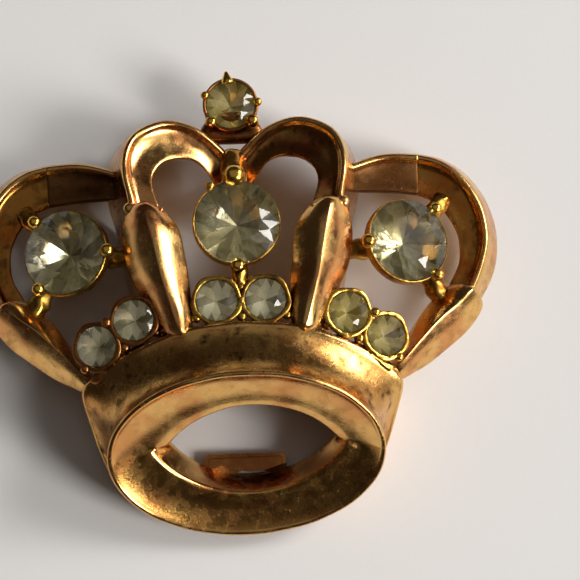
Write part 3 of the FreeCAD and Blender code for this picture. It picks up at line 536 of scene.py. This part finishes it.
def strap_ring(lip, inner, foot):
    """An arch's section: rounded lip, outer wall, hollow underside, inner edge and dished face."""
    outward, upward = cross_axes(inner, lip, foot)

    def moved(point, out, up):
        return point + outward * out + upward * up

    wall_top = moved(lip, 0.22, -0.40)
    wall = [moved(lip, -0.14, 0.0), moved(lip, 0.06, -0.06), wall_top, between(wall_top, foot, 0.25),
            between(wall_top, foot, 0.65), moved(foot, 0.0, 0.12), moved(foot, -0.15, 0.0)]
    underside = [moved(foot, 0.1 - SHELL, 0.0), moved(foot, -SHELL, 0.15), moved(lip, -0.75, -1.6),
                 moved(inner, 0.6, -1.4)]
    inner_edge = [moved(inner, 0.14, -1.35), moved(inner, 0.0, -1.18), moved(inner, 0.0, -0.16),
                  moved(inner, 0.12, -0.02)]
    dish = [moved(between(lip, inner, t), 0, -dip) for t, dip in ((0.72, 0.30), (0.48, 0.46), (0.30, 0.44))]
    return [*wall, *underside, *inner_edge, *dish, moved(lip, -0.50, -0.30), moved(lip, -0.42, -0.04)]


def round_ends(rings, length, ends=(True, True)):
    """Rings drawn in towards their middles near the ends, so the ends are rounded over."""
    middles = [sum(ring, Vector()) / len(ring) for ring in rings]
    walked = [0.0]
    for before, after in zip(middles, middles[1:]):
        walked.append(walked[-1] + (after - before).length)
    result = []
    for ring, middle, place in zip(rings, middles, walked):
        near = min(place if ends[0] else length, walked[-1] - place if ends[1] else length)
        gap = 1.0 - min(1.0, near / length)
        share = math.sqrt(max(0.0, 1.0 - 0.90 * gap * gap))
        result.append([middle + (point - middle) * share for point in ring])
    return result


def blend_rings(first, second, share):
    return [between(a, b, share) for a, b in zip(first, second)]


def held_ends(rings):
    """The same rings with one more close to each end, which keeps the ends square when smoothed."""
    near = 0.06
    return [rings[0], blend_rings(rings[0], rings[1], near), *rings[1:-1],
            blend_rings(rings[-1], rings[-2], near), rings[-1]]


def strap(name, stations, gilts, node, seed, stops_at_middle=False, ends=(False, False)):
    """A strap on the right side and its mirror image on the left; gilts are those of the dished faces."""
    rings = [strap_ring(*station) for station in even_stations(stations, STRAP_SPACING)]
    points, faces = skin(held_ends(round_ends(rings, 0.9, ends)), closed=False)
    points = cast_surface(points, amount=0.05, scale=0.4, seed=seed)
    points = [Vector((max(p.x, 0.0) if stops_at_middle else p.x, p.y, max(p.z, 0.0))) for p in points]
    caps = 2

    def choose(index):
        return 1 if index % len(rings[0]) in TROUGH_FACES and index < len(faces) - caps else 0

    for side, change in (("right", lambda *mesh: mesh), ("left", mirror)):
        own_points, own_faces = change(points, faces)
        make_piece(f"{name}_{side[0]}", own_points, own_faces, [CASTING, gilts[side]], "gilt_casting",
                   [f"{node}_{side}"], levels=1, choose=choose)


# ---------------------------------------------------------------- leaves
# Each station holds the outer edge, the crest and the inner edge.
INNER_LEAF = [
    ((6.4, -4.6, 8.4), (5.15, -4.6, 9.6), (4.15, -4.5, 9.0)),
    ((7.2, -2.8, 8.4), (5.65, -2.8, 10.1), (4.0, -2.6, 9.0)),
    ((8.1, -1.0, 8.2), (6.2, -0.9, 10.5), (4.15, -0.5, 9.0)),
    ((9.1, 1.0, 8.1), (6.65, 1.1, 10.75), (4.35, 1.5, 9.1)),
    ((9.65, 3.0, 8.2), (7.05, 3.0, 10.8), (4.6, 3.2, 9.2)),
    ((9.7, 5.0, 8.5), (7.45, 4.8, 10.75), (5.0, 4.9, 9.35)),
    ((9.3, 6.4, 8.9), (7.75, 6.2, 10.5), (5.9, 6.2, 9.5)),
    ((8.95, 7.2, 9.1), (7.9, 7.25, 10.15), (6.6, 7.1, 9.5)),
]
OUTER_LEAF = [
    ((12.9, -8.2, 4.6), (12.4, -7.6, 5.6), (12.1, -7.0, 5.0)),
    ((14.3, -7.45, 4.3), (13.8, -6.3, 6.1), (13.3, -5.9, 5.0)),
    ((16.0, -6.5, 4.0), (15.3, -4.7, 6.4), (14.2, -4.6, 4.9)),
    ((18.0, -5.0, 3.9), (17.0, -3.0, 6.5), (15.3, -2.6, 4.8)),
    ((20.0, -3.2, 3.9), (18.8, -1.6, 6.3), (16.8, -0.8, 4.7)),
    ((21.0, -1.7, 4.2), (20.0, -0.5, 5.9), (18.3, 0.3, 4.8)),
    ((21.0, -0.7, 4.7), (20.5, -0.1, 5.2), (19.8, 0.2, 4.9)),
]


def leaf_ring(outer, crest, inner, thickness):
    """A leaf's section: two rounded slopes that meet at the crest, and a flat underside."""
    _, upward = cross_axes(inner, outer, crest)
    upward = -upward

    def bowed(a, b, t, bulge):
        return between(a, b, t) + upward * bulge * math.sin(math.pi * t)

    inner_low = between(inner, outer, 0.08) - upward * thickness
    outer_low = between(outer, inner, 0.08) - upward * thickness
    outer_slope = [bowed(outer, crest, t, 0.22) for t in (0.0, 0.06, 0.16, 0.34, 0.55, 0.75, 0.90, 0.97)]
    inner_slope = [bowed(crest, inner, t, 0.38) for t in (0.03, 0.10, 0.25, 0.45, 0.66, 0.84, 0.94, 1.0)]
    under = [between(inner, inner_low, 0.12), between(inner, inner_low, 0.8), inner_low,
             between(inner_low, outer_low, 0.5), outer_low, between(outer, outer_low, 0.8),
             between(outer, outer_low, 0.12)]
    return outer_slope + inner_slope + under


def leaf(name, stations, thickness, node, seed, extras=()):
    """A leaf on the right side and its mirror image on the left."""
    rings = [leaf_ring(*station, thickness) for station in even_stations(stations, LEAF_SPACING)]
    blade = skin(round_ends(rings, 0.7), closed=False)
    points, faces = joined([blade, *extras])
    points = cast_surface(points, amount=0.05, scale=0.4, seed=seed)
    make_piece(f"{name}_r", points, faces, CASTING, "gilt_casting", [f"{node}_right"], levels=1)
    make_piece(f"{name}_l", *mirror(points, faces), CASTING, "gilt_casting", [f"{node}_left"], levels=1)


# ---------------------------------------------------------------- stones
# Shares of a stone's radius: how far out the facets' corners lie, and how high.
TABLE_OUT, TABLE_HIGH = 0.56, 0.30
STAR_OUT, STAR_HIGH = 0.80, 0.185
HALF_GIRDLE = 0.035
LOW_OUT = 0.52
TIP_DEPTH = 0.82


def stone_mesh(radius, mains):
    """A brilliant with a table, star, kite and half facets above, and kites and halves below."""
    step = 2 * math.pi / mains

    def at(ring, turn, height):
        return Vector((ring * radius * math.cos(turn), ring * radius * math.sin(turn), height * radius))

    table = [at(TABLE_OUT, (i + 0.5) * step, TABLE_HIGH) for i in range(mains)]
    star = [at(STAR_OUT, i * step, STAR_HIGH) for i in range(mains)]
    girdle_top = [at(1.0, i * step / 2, HALF_GIRDLE) for i in range(2 * mains)]
    girdle_low = [at(1.0, i * step / 2, -HALF_GIRDLE) for i in range(2 * mains)]
    low_high = (TIP_DEPTH - HALF_GIRDLE) * LOW_OUT * math.cos(step / 2) - TIP_DEPTH
    low = [at(LOW_OUT, i * step, low_high) for i in range(mains)]
    tip = [Vector((0, 0, -TIP_DEPTH * radius))]
    points = table + star + girdle_top + girdle_low + low + tip
    s, g, h = mains, 2 * mains, 4 * mains
    p, c = 6 * mains, 7 * mains
    crown, pavilion = [tuple(range(mains))], []
    for i in range(mains):
        j = (i + 1) % mains
        before = (i - 1) % mains
        odd, even, last = g + 2 * i + 1, g + 2 * i, g + (2 * i - 1) % (2 * mains)
        crown += [(before, s + i, i), (i, s + i, odd, s + j), (s + i, even, odd), (s + i, last, even)]
        low_odd, low_even, low_last = h + 2 * i + 1, h + 2 * i, h + (2 * i - 1) % (2 * mains)
        crown += [(even, low_even, low_odd, odd), (last, low_last, low_even, even)]
        pavilion += [(p + i, c, p + j, low_odd), (low_even, p + i, low_odd), (low_last, p + i, low_even)]
    return points, crown, pavilion


def stone(name, node, radius, centre, axis, mains=12, clear=CLEAR, backs=FOILS, spin=0.0):
    """A clear stone with foiled back facets, some of them more worn than others."""
    points, crown, pavilion = stone_mesh(radius, mains)
    points = placed([Matrix.Rotation(spin, 3, "Z") @ p for p in points], centre, axis)

    def choose(index):
        facet = index - len(crown)
        return 0 if facet < 0 else 1 + (facet * 7 + facet // 4) % len(backs)

    make_piece(name, points, crown + pavilion, [clear, *backs], "clear_stone", [node], flat=True,
               choose=choose)


# ---------------------------------------------------------------- settings
def revolve(profile, steps, wobble):
    """A solid turned around +Z from a profile of (radius, height), flat at both ends."""
    rings = []
    for k, (r, h) in enumerate(profile):
        ring = []
        for i in range(steps):
            turn = 2 * math.pi * i / steps
            dr, dh = wobble(i, k)
            ring.append(Vector(((r + dr) * math.cos(turn), (r + dr) * math.sin(turn), h + dh)))
        rings.append(ring)
    return skin(rings, closed=False)


def placed(points, centre, axis):
    turn = Vector((0, 0, 1)).rotation_difference(Vector(axis)).to_matrix()
    return [turn @ p + Vector(centre) for p in points]


LARGE_CUP = {"wall": 0.25, "depth": 0.95, "teeth": 38}
TOP_CUP = {"wall": 0.3, "depth": 1.0, "teeth": 20}
SMALL_CUP = {"wall": 0.42, "depth": 1.0, "teeth": 16}
THICK_WALL = 0.4
SEAT_GAP = 0.03
RIM_POINTS = (3, 4, 5)        # of a cup's profile, those over the rim
SIDE_POINTS = (6, 7)          # and those just outside it


def cup_mesh(radius, centre, axis, wall, depth, teeth, open_side=None):
    """A conical cup with a toothed rim, which sinks under the stone away from the open side."""
    seat = radius + SEAT_GAP
    outer = seat + wall
    profile = [(0.16 * radius, -0.86 * radius), (0.5 * radius, -0.52 * radius), (seat, -0.10 * radius),
               (seat, 0.02 * radius), (seat + 0.3 * wall, 0.05 * radius), (outer - 0.02, 0.03 * radius),
               (outer, -0.04 * radius), (outer, -0.16 * radius), (outer - 0.04, -0.30 * radius),
               (0.50 * radius, -(depth - 0.04) * radius), (0.42 * radius, -depth * radius)]

    def tooth(i, k):
        high = 1 if i % 2 else -1
        turn = math.pi * i / teeth
        hidden = 0.0 if open_side is None else 0.5 - 0.5 * math.cos(turn - math.radians(open_side))
        scallop = 0.09 * math.cos(5 * turn + radius) if wall > THICK_WALL else 0.0
        if k in RIM_POINTS:
            inward = (0.5 * scallop - 0.10 * hidden) * (k - RIM_POINTS[0])
            return (inward - 0.02 * high, 0.035 * high - 0.10 * hidden)
        if k in SIDE_POINTS:
            return (0.03 * high + scallop - 0.18 * hidden, -0.10 * hidden)
        return (0.0, 0.0)

    points, faces = revolve(profile, 2 * teeth, tooth)
    return placed(points, centre, axis), faces


def circle_points(radius, height, sides):
    turns = [2 * math.pi * k / sides for k in range(sides)]
    return [Vector((radius * math.cos(turn), radius * math.sin(turn), height)) for turn in turns]


def bar_mesh(start, end, r0, r1, sides=12, rings=6, waist=0.0):
    """A round bar between two points, with a waist in the middle."""
    start, end = Vector(start), Vector(end)
    line = end - start
    result = []
    for i in range(rings + 1):
        t = i / rings
        r = (r0 + (r1 - r0) * t) * (1 - waist * math.sin(math.pi * t))
        result.append(circle_points(r, t * line.length, sides))
    points, faces = skin(result, closed=False)
    return placed(points, start, line), faces


def bead_mesh(centre, radius, squash=1.0):
    """A round bead: rings of latitude closed by small caps."""
    sides = 16
    result = []
    for i in range(1, sides // 2):
        turn = 2 * math.pi * i / sides
        result.append(circle_points(radius * math.sin(turn), -radius * squash * math.cos(turn), sides))
    points, faces = skin(result, closed=False)
    return [p + Vector(centre) for p in points], faces


def joined(meshes):
    """Several meshes as one list of points and faces."""
    points, faces = [], []
    for some_points, some_faces in meshes:
        start = len(points)
        points += some_points
        faces += [tuple(start + index for index in face) for face in some_faces]
    return points, faces


def girdle_point(radius, centre, axis, angle, out, up):
    """A point beside a stone's girdle, moved out from it and up along the stone's axis."""
    turn = math.radians(angle)
    beside = Vector((math.cos(turn), math.sin(turn), 0)) * (radius + out)
    return placed([beside + Vector((0, 0, up))], centre, axis)[0]


def bead_prong(radius, centre, axis, angle, size):
    """A bead that laps over the girdle, on a short thick post beside the cup."""
    top = girdle_point(radius, centre, axis, angle, out=0.3 * size + 0.12, up=0.30)
    low = girdle_point(radius, centre, axis, angle, out=0.05, up=-0.30 * radius)
    return [bead_mesh(top, 1.08 * size, 0.95), bar_mesh(low, top, 0.50 * size, 0.70 * size)]


CENTRE_AT, CENTRE_AXIS = (0.0, 5.3, 9.0), Vector((0.0, -0.06, 1.0)).normalized()
SIDE_AT, SIDE_AXIS = (14.6, 3.75, 7.0), Vector((0.30, -0.04, 1.0)).normalized()
TOP_AT, TOP_AXIS = (0.0, 17.4, 5.0), Vector((0.0, -0.08, 1.0)).normalized()
# The beads' angles round their stone, in degrees, and their sizes.
CENTRE_BEADS = ((92, 0.90), (268, 0.62), (125, 0.40))
SIDE_BEADS = ((185, 0.62), (48, 0.55), (-52, 0.55))
TOP_BEADS = ((222, 0.50), (318, 0.58), (2, 0.38), (160, 0.36))
CENTRE_PAIR = [((-2.03, -1.6, 9.5), (0.0, -0.12, 1.0)), ((2.03, -1.6, 9.5), (0.0, -0.12, 1.0))]
SIDE_PAIR = [((8.95, -2.75, 8.5), (0.22, -0.12, 1.0)), ((12.1, -4.6, 7.4), (0.32, -0.12, 1.0))]


def mirrored_vector(v):
    return Vector((-v[0], v[1], v[2]))


def rough_rods(rods, seed):
    """Thick short rods with the lumpy surface of solder and old casting."""
    bars = [bar_mesh(start, end, radius, radius, sides=16, rings=12) for start, end, radius in rods]
    points, faces = joined(bars)
    return cast_surface(points, amount=0.30, scale=1.1, seed=seed), faces


def prong_meshes(table, radius, centre, axis):
    return [mesh for angle, size in table for mesh in bead_prong(radius, centre, axis, angle, size)]


def centre_setting():
    cup = cup_mesh(LARGE_STONE, CENTRE_AT, CENTRE_AXIS, open_side=-140, **LARGE_CUP)
    rods = rough_rods([((0.0, 8.4, 7.2), (0.0, 12.6, 5.0), 1.15), ((0.0, 2.0, 7.9), (0.0, -1.6, 7.9), 0.75)],
                      seed=1.0)
    make_piece("cup_centre", *joined([cup, rods]), SETTING_GILT, "gilt_settings", ["centre_setting"],
               levels=1)
    beads = joined(prong_meshes(CENTRE_BEADS, LARGE_STONE, CENTRE_AT, CENTRE_AXIS))
    make_piece("beads_centre", *beads, SETTING_GILT, "gilt_settings", ["centre_prongs"], levels=1)
    stone("gem_centre", "centre_stone", LARGE_STONE, CENTRE_AT, CENTRE_AXIS, spin=0.2)


def side_settings():
    cup = cup_mesh(LARGE_STONE, SIDE_AT, SIDE_AXIS, open_side=-120, **LARGE_CUP)
    rods = rough_rods([((11.9, 3.6, 5.6), (9.0, 3.4, 5.6), 0.85), ((16.4, 5.9, 4.9), (18.4, 8.3, 4.0), 0.85),
                       ((16.2, 1.4, 4.9), (17.8, -1.6, 4.3), 0.90)], seed=2.0)
    meshes = joined([cup, rods])
    beads = joined(prong_meshes(SIDE_BEADS, LARGE_STONE, SIDE_AT, SIDE_AXIS))
    for side, change, place in (("right", lambda *mesh: mesh, Vector), ("left", mirror, mirrored_vector)):
        make_piece(f"cup_{side}", *change(*meshes), PLATE_GILT, "gilt_settings", [f"{side}_setting"],
                   levels=1)
        make_piece(f"beads_{side}", *change(*beads), SETTING_GILT, "gilt_settings", [f"{side}_prongs"],
                   levels=1)
        stone(f"gem_{side}", f"{side}_stone", LARGE_STONE, place(SIDE_AT), place(SIDE_AXIS), spin=0.4)


def saddle_mesh():
    """The small block under the top cup, where the two inner arches meet."""
    outline = [(-2.3, 16.6), (-1.2, 17.1), (1.2, 17.1), (2.3, 16.6), (3.1, 15.2), (2.6, 14.5), (1.2, 14.35),
               (-1.2, 14.35), (-2.6, 14.5), (-3.1, 15.2)]
    middle_y = 15.5
    heights = ((2.8, 0.90), (2.95, 1.0), (3.5, 1.0), (3.9, 0.93), (4.1, 0.75))
    return skin([[Vector((x * share, middle_y + (y - middle_y) * share, z)) for x, y in outline]
                 for z, share in heights], closed=False)


def top_setting():
    cup = cup_mesh(TOP_STONE, TOP_AT, TOP_AXIS, **TOP_CUP)
    meshes = joined([cup, saddle_mesh()])
    # The top cup and its saddle take the painted-shade gold.
    make_piece("cup_top", *meshes, SHADED_GILT, "gilt_settings", ["top_setting"], levels=1)
    root = girdle_point(TOP_STONE, TOP_AT, TOP_AXIS, 96, out=-0.35, up=0.25)
    tip = girdle_point(TOP_STONE, TOP_AT, TOP_AXIS, 96, out=0.80, up=0.45)
    claw = bar_mesh(root, tip, 0.62, 0.12, waist=-0.15)
    claws = joined([*prong_meshes(TOP_BEADS, TOP_STONE, TOP_AT, TOP_AXIS), claw])
    make_piece("claws_top", *claws, SETTING_GILT, "gilt_settings", ["top_prongs"], levels=1)
    stone("gem_top", "top_stone", TOP_STONE, TOP_AT, TOP_AXIS, clear=GREENISH, backs=WARM_FOILS)


def pair_plate(name, node, pair, roots, nodules, beams, material):
    """Two small cups joined by a bridge, with nodules, and beams and roots that reach the band's ridge."""
    meshes = [cup_mesh(SMALL_STONE, at, axis, **SMALL_CUP) for at, axis in pair]
    first, second = (Vector(at) + Vector((0, 0, -0.35)) for at, _ in pair)
    reach = SMALL_STONE / (second - first).length
    meshes.append(bar_mesh(between(first, second, reach), between(second, first, reach), 0.5, 0.5, rings=2))
    meshes += [bar_mesh(start, end, 0.6, 0.8) for start, end in roots]
    meshes += [bead_mesh(at, size, 0.9) for at, size in nodules]
    lumpy, lumpy_faces = joined([bar_mesh(start, end, 0.55, 0.5, rings=10) for start, end in beams])
    meshes.append((cast_surface(lumpy, amount=0.25, scale=1.3, seed=4.0), lumpy_faces))
    make_piece(name, *joined(meshes), material, "gilt_settings", [node], levels=1)


def centre_pair():
    nodules = [((0.0, -0.45, 9.35), 0.34), ((0.0, -2.95, 9.1), 0.42), ((-3.75, -2.9, 9.0), 0.42),
               ((3.75, -2.9, 9.0), 0.42)]
    roots = [((-2.2, -3.6, 8.2), (-2.2, -5.2, 8.0)), ((2.2, -3.6, 8.2), (2.2, -5.2, 8.0))]
    beams = [((-3.9, -3.9, 8.5), (0.1, -3.75, 8.8)), ((-0.1, -3.75, 8.8), (3.9, -3.9, 8.5))]
    pair_plate("plate_centre", "centre_pair_plate", CENTRE_PAIR, roots, nodules, beams, PLATE_GILT)
    for side, (at, axis) in zip(("left", "right"), CENTRE_PAIR):
        stone(f"gem_pair_{side}", f"centre_pair_stone_{side}", SMALL_STONE, at, axis, mains=8, spin=0.3,
              backs=SOFT_FOILS)


def side_pair(side, place, gilt, clear, backs):
    """One side's two small stones and their plate; place puts a point of the right side on this side."""
    roots = [((8.6, -4.8, 7.4), (8.4, -6.0, 6.6)), ((11.4, -6.5, 6.1), (11.0, -7.2, 5.2))]
    nodules = [((11.2, -2.75, 8.0), 0.45), ((9.75, -4.85, 7.7), 0.48), ((7.15, -3.8, 8.3), 0.40),
               ((13.1, -6.35, 6.7), 0.42)]
    beams = [((7.3, -4.8, 7.9), (10.5, -6.0, 7.1)), ((10.3, -6.0, 7.1), (12.5, -7.3, 6.1))]
    pair, roots, beams = ([(place(a), place(b)) for a, b in some] for some in (SIDE_PAIR, roots, beams))
    nodules = [(place(at), size) for at, size in nodules]
    pair_plate(f"plate_{side}", f"{side}_pair_plate", pair, roots, nodules, beams, gilt)
    for order, (at, axis) in zip(("inner", "outer"), pair):
        stone(f"gem_{side}_{order}", f"{side}_pair_stone_{order}", SMALL_STONE, at, axis, mains=8, spin=0.5,
              clear=clear, backs=backs)


# ---------------------------------------------------------------- carried-over CAD pieces
def finish_cad_nodes():
    # The blank plate's darker gold is painted shade in the ring's hollow.
    kept = {"blank_back_plate": SHADED_GILT, "pin_bar": HARDWARE_GILT, "pin_joint": HARDWARE_GILT,
            "catch_body": HARDWARE_GILT, "catch_rotor": HARDWARE_GILT, "joint_rivet": STEEL,
            "pin_stem": STEEL}
    for node, material in kept.items():
        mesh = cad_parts[node].data
        mesh.materials.clear()
        mesh.materials.append(material)


# ---------------------------------------------------------------- stage, in metres
PAPER_HALF_WIDTH = 0.9
PAPER_GAP = 0.00002           # between the brooch's back and the paper


def stage():
    size = PAPER_HALF_WIDTH
    mesh = bpy.data.meshes.new("paper")
    corners = [(-size, -size, 0), (size, -size, 0), (size, size, 0), (-size, size, 0)]
    mesh.from_pydata(corners, [], [(0, 1, 2, 3)])
    floor = bpy.data.objects.new("paper", mesh)
    floor.location.z = -PAPER_GAP
    bpy.context.scene.collection.objects.link(floor)
    material, nodes, links = new_material("pale_paper")
    shader = nodes["Principled BSDF"]
    coordinates = nodes.new("ShaderNodeTexCoord")
    grain = link_noise(nodes, links, coordinates, scale=2500)
    tint = mix_colours(nodes, links, grain, (0.80, 0.79, 0.785), (0.83, 0.82, 0.815))
    links.new(tint, shader.inputs["Base Color"])
    shader.inputs["Roughness"].default_value = 0.85
    mesh.materials.append(material)


def area_light(name, location, size, power, colour):
    """A rectangular light that faces the origin."""
    data = bpy.data.lights.new(name, "AREA")
    data.shape = "RECTANGLE"
    data.size, data.size_y = size
    data.energy = power
    data.color = colour
    light = bpy.data.objects.new(name, data)
    light.location = location
    light.rotation_euler = (Vector() - Vector(location)).to_track_quat("-Z", "Y").to_euler()
    bpy.context.scene.collection.objects.link(light)


def lights():
    """A window low at the right, a second one beside it, a large soft light behind, and a dim ceiling."""
    area_light("window", (0.70, -0.40, 0.55), (0.32, 0.38), 6.2, (1.0, 0.97, 0.93))
    area_light("strip", (0.74, 0.29, 0.48), (0.32, 0.38), 5.4, (1.0, 0.98, 0.95))
    area_light("ceiling", (0.0, 0.1, 0.80), (0.80, 0.80), 0.34, (1.0, 0.99, 0.97))
    area_light("right_wall", (0.90, -0.08, 0.63), (1.35, 0.75), 3.4, (1.0, 0.98, 0.95))


def room():
    """Dark warm surroundings, and colours shown without a film curve."""
    world = bpy.data.worlds.new("studio")
    world.use_nodes = True
    background = world.node_tree.nodes["Background"]
    background.inputs["Color"].default_value = (0.80, 0.66, 0.56, 1.0)
    background.inputs["Strength"].default_value = 0.035
    bpy.context.scene.world = world
    bpy.context.scene.view_settings.view_transform = "Standard"


def camera():
    """The camera looks down at the brooch from its foot's side, a little from the left."""
    distance, half_field = 0.140, 0.02466
    tilt, yaw, roll = math.radians(15.0), math.radians(3.5), math.radians(3.1)
    target = Vector((4.3, 0.0, 6.0)) * MM
    side, down = math.sin(yaw), math.sin(tilt)
    view = Vector((-side, -down, math.sqrt(1 - side * side - down * down)))
    right = Vector((0, 1, 0)).cross(view).normalized()
    up = view.cross(right)
    image_right = right * math.cos(roll) - up * math.sin(roll)
    image_up = right * math.sin(roll) + up * math.cos(roll)
    data = bpy.data.cameras.new("camera")
    data.angle = 2 * math.atan(half_field / distance)
    data.clip_start = 0.005
    data.clip_end = 10
    thing = bpy.data.objects.new("camera", data)
    rows = Matrix((image_right, image_up, view)).transposed().to_4x4()
    thing.matrix_world = Matrix.Translation(target + view * distance) @ rows
    bpy.context.scene.collection.objects.link(thing)
    bpy.context.scene.camera = thing


camera()
lights()
room()
stage()
base_band()
knuckles = [bead_mesh((8.95, 6.75, 8.95), 0.62, 0.9), bead_mesh((5.0, -2.0, 9.0), 0.45),
            bead_mesh((6.35, 6.35, 9.75), 0.26)]
leaf("leaf_inner", INNER_LEAF, 0.9, "inner_leaf", seed=3.0, extras=knuckles)
leaf("leaf_outer", OUTER_LEAF, 1.5, "outer_leaf", seed=5.0)
# The right inner arch's dish is darker than the left's, which keeps the casting gold: painted dark
# reflection.
strap("arch_inner", INNER_ARCH, {"right": RUDDY_GILT_PAINTED_DARK, "left": CASTING}, "inner_arch", seed=7.0,
      stops_at_middle=True, ends=(True, False))
# The outer arches' dark dishes are painted dark reflection.
strap("arch_outer", OUTER_ARCH, {"right": ARCH_DISH_GILT_PAINTED_DARK, "left": ARCH_DISH_GILT_PAINTED_DARK}, "outer_arch", seed=9.0,
      ends=(False, True))
# The bridge straps' near-black dishes are painted dark reflection.
strap("bridge", BRIDGE_STRAP, {"right": STRAP_GILT_PAINTED_DARK, "left": STRAP_GILT_PAINTED_DARK}, "bridge_strap", seed=11.0)
centre_setting()
side_settings()
top_setting()
centre_pair()
# The left pair's plate takes the painted-shade gold, and the right pair's plate the plain setting gold.
side_pair("right", Vector, SETTING_GILT, GREENISH, WARM_FOILS)
side_pair("left", mirrored_vector, SHADED_GILT, CLEAR, SOFT_FOILS)
finish_cad_nodes()
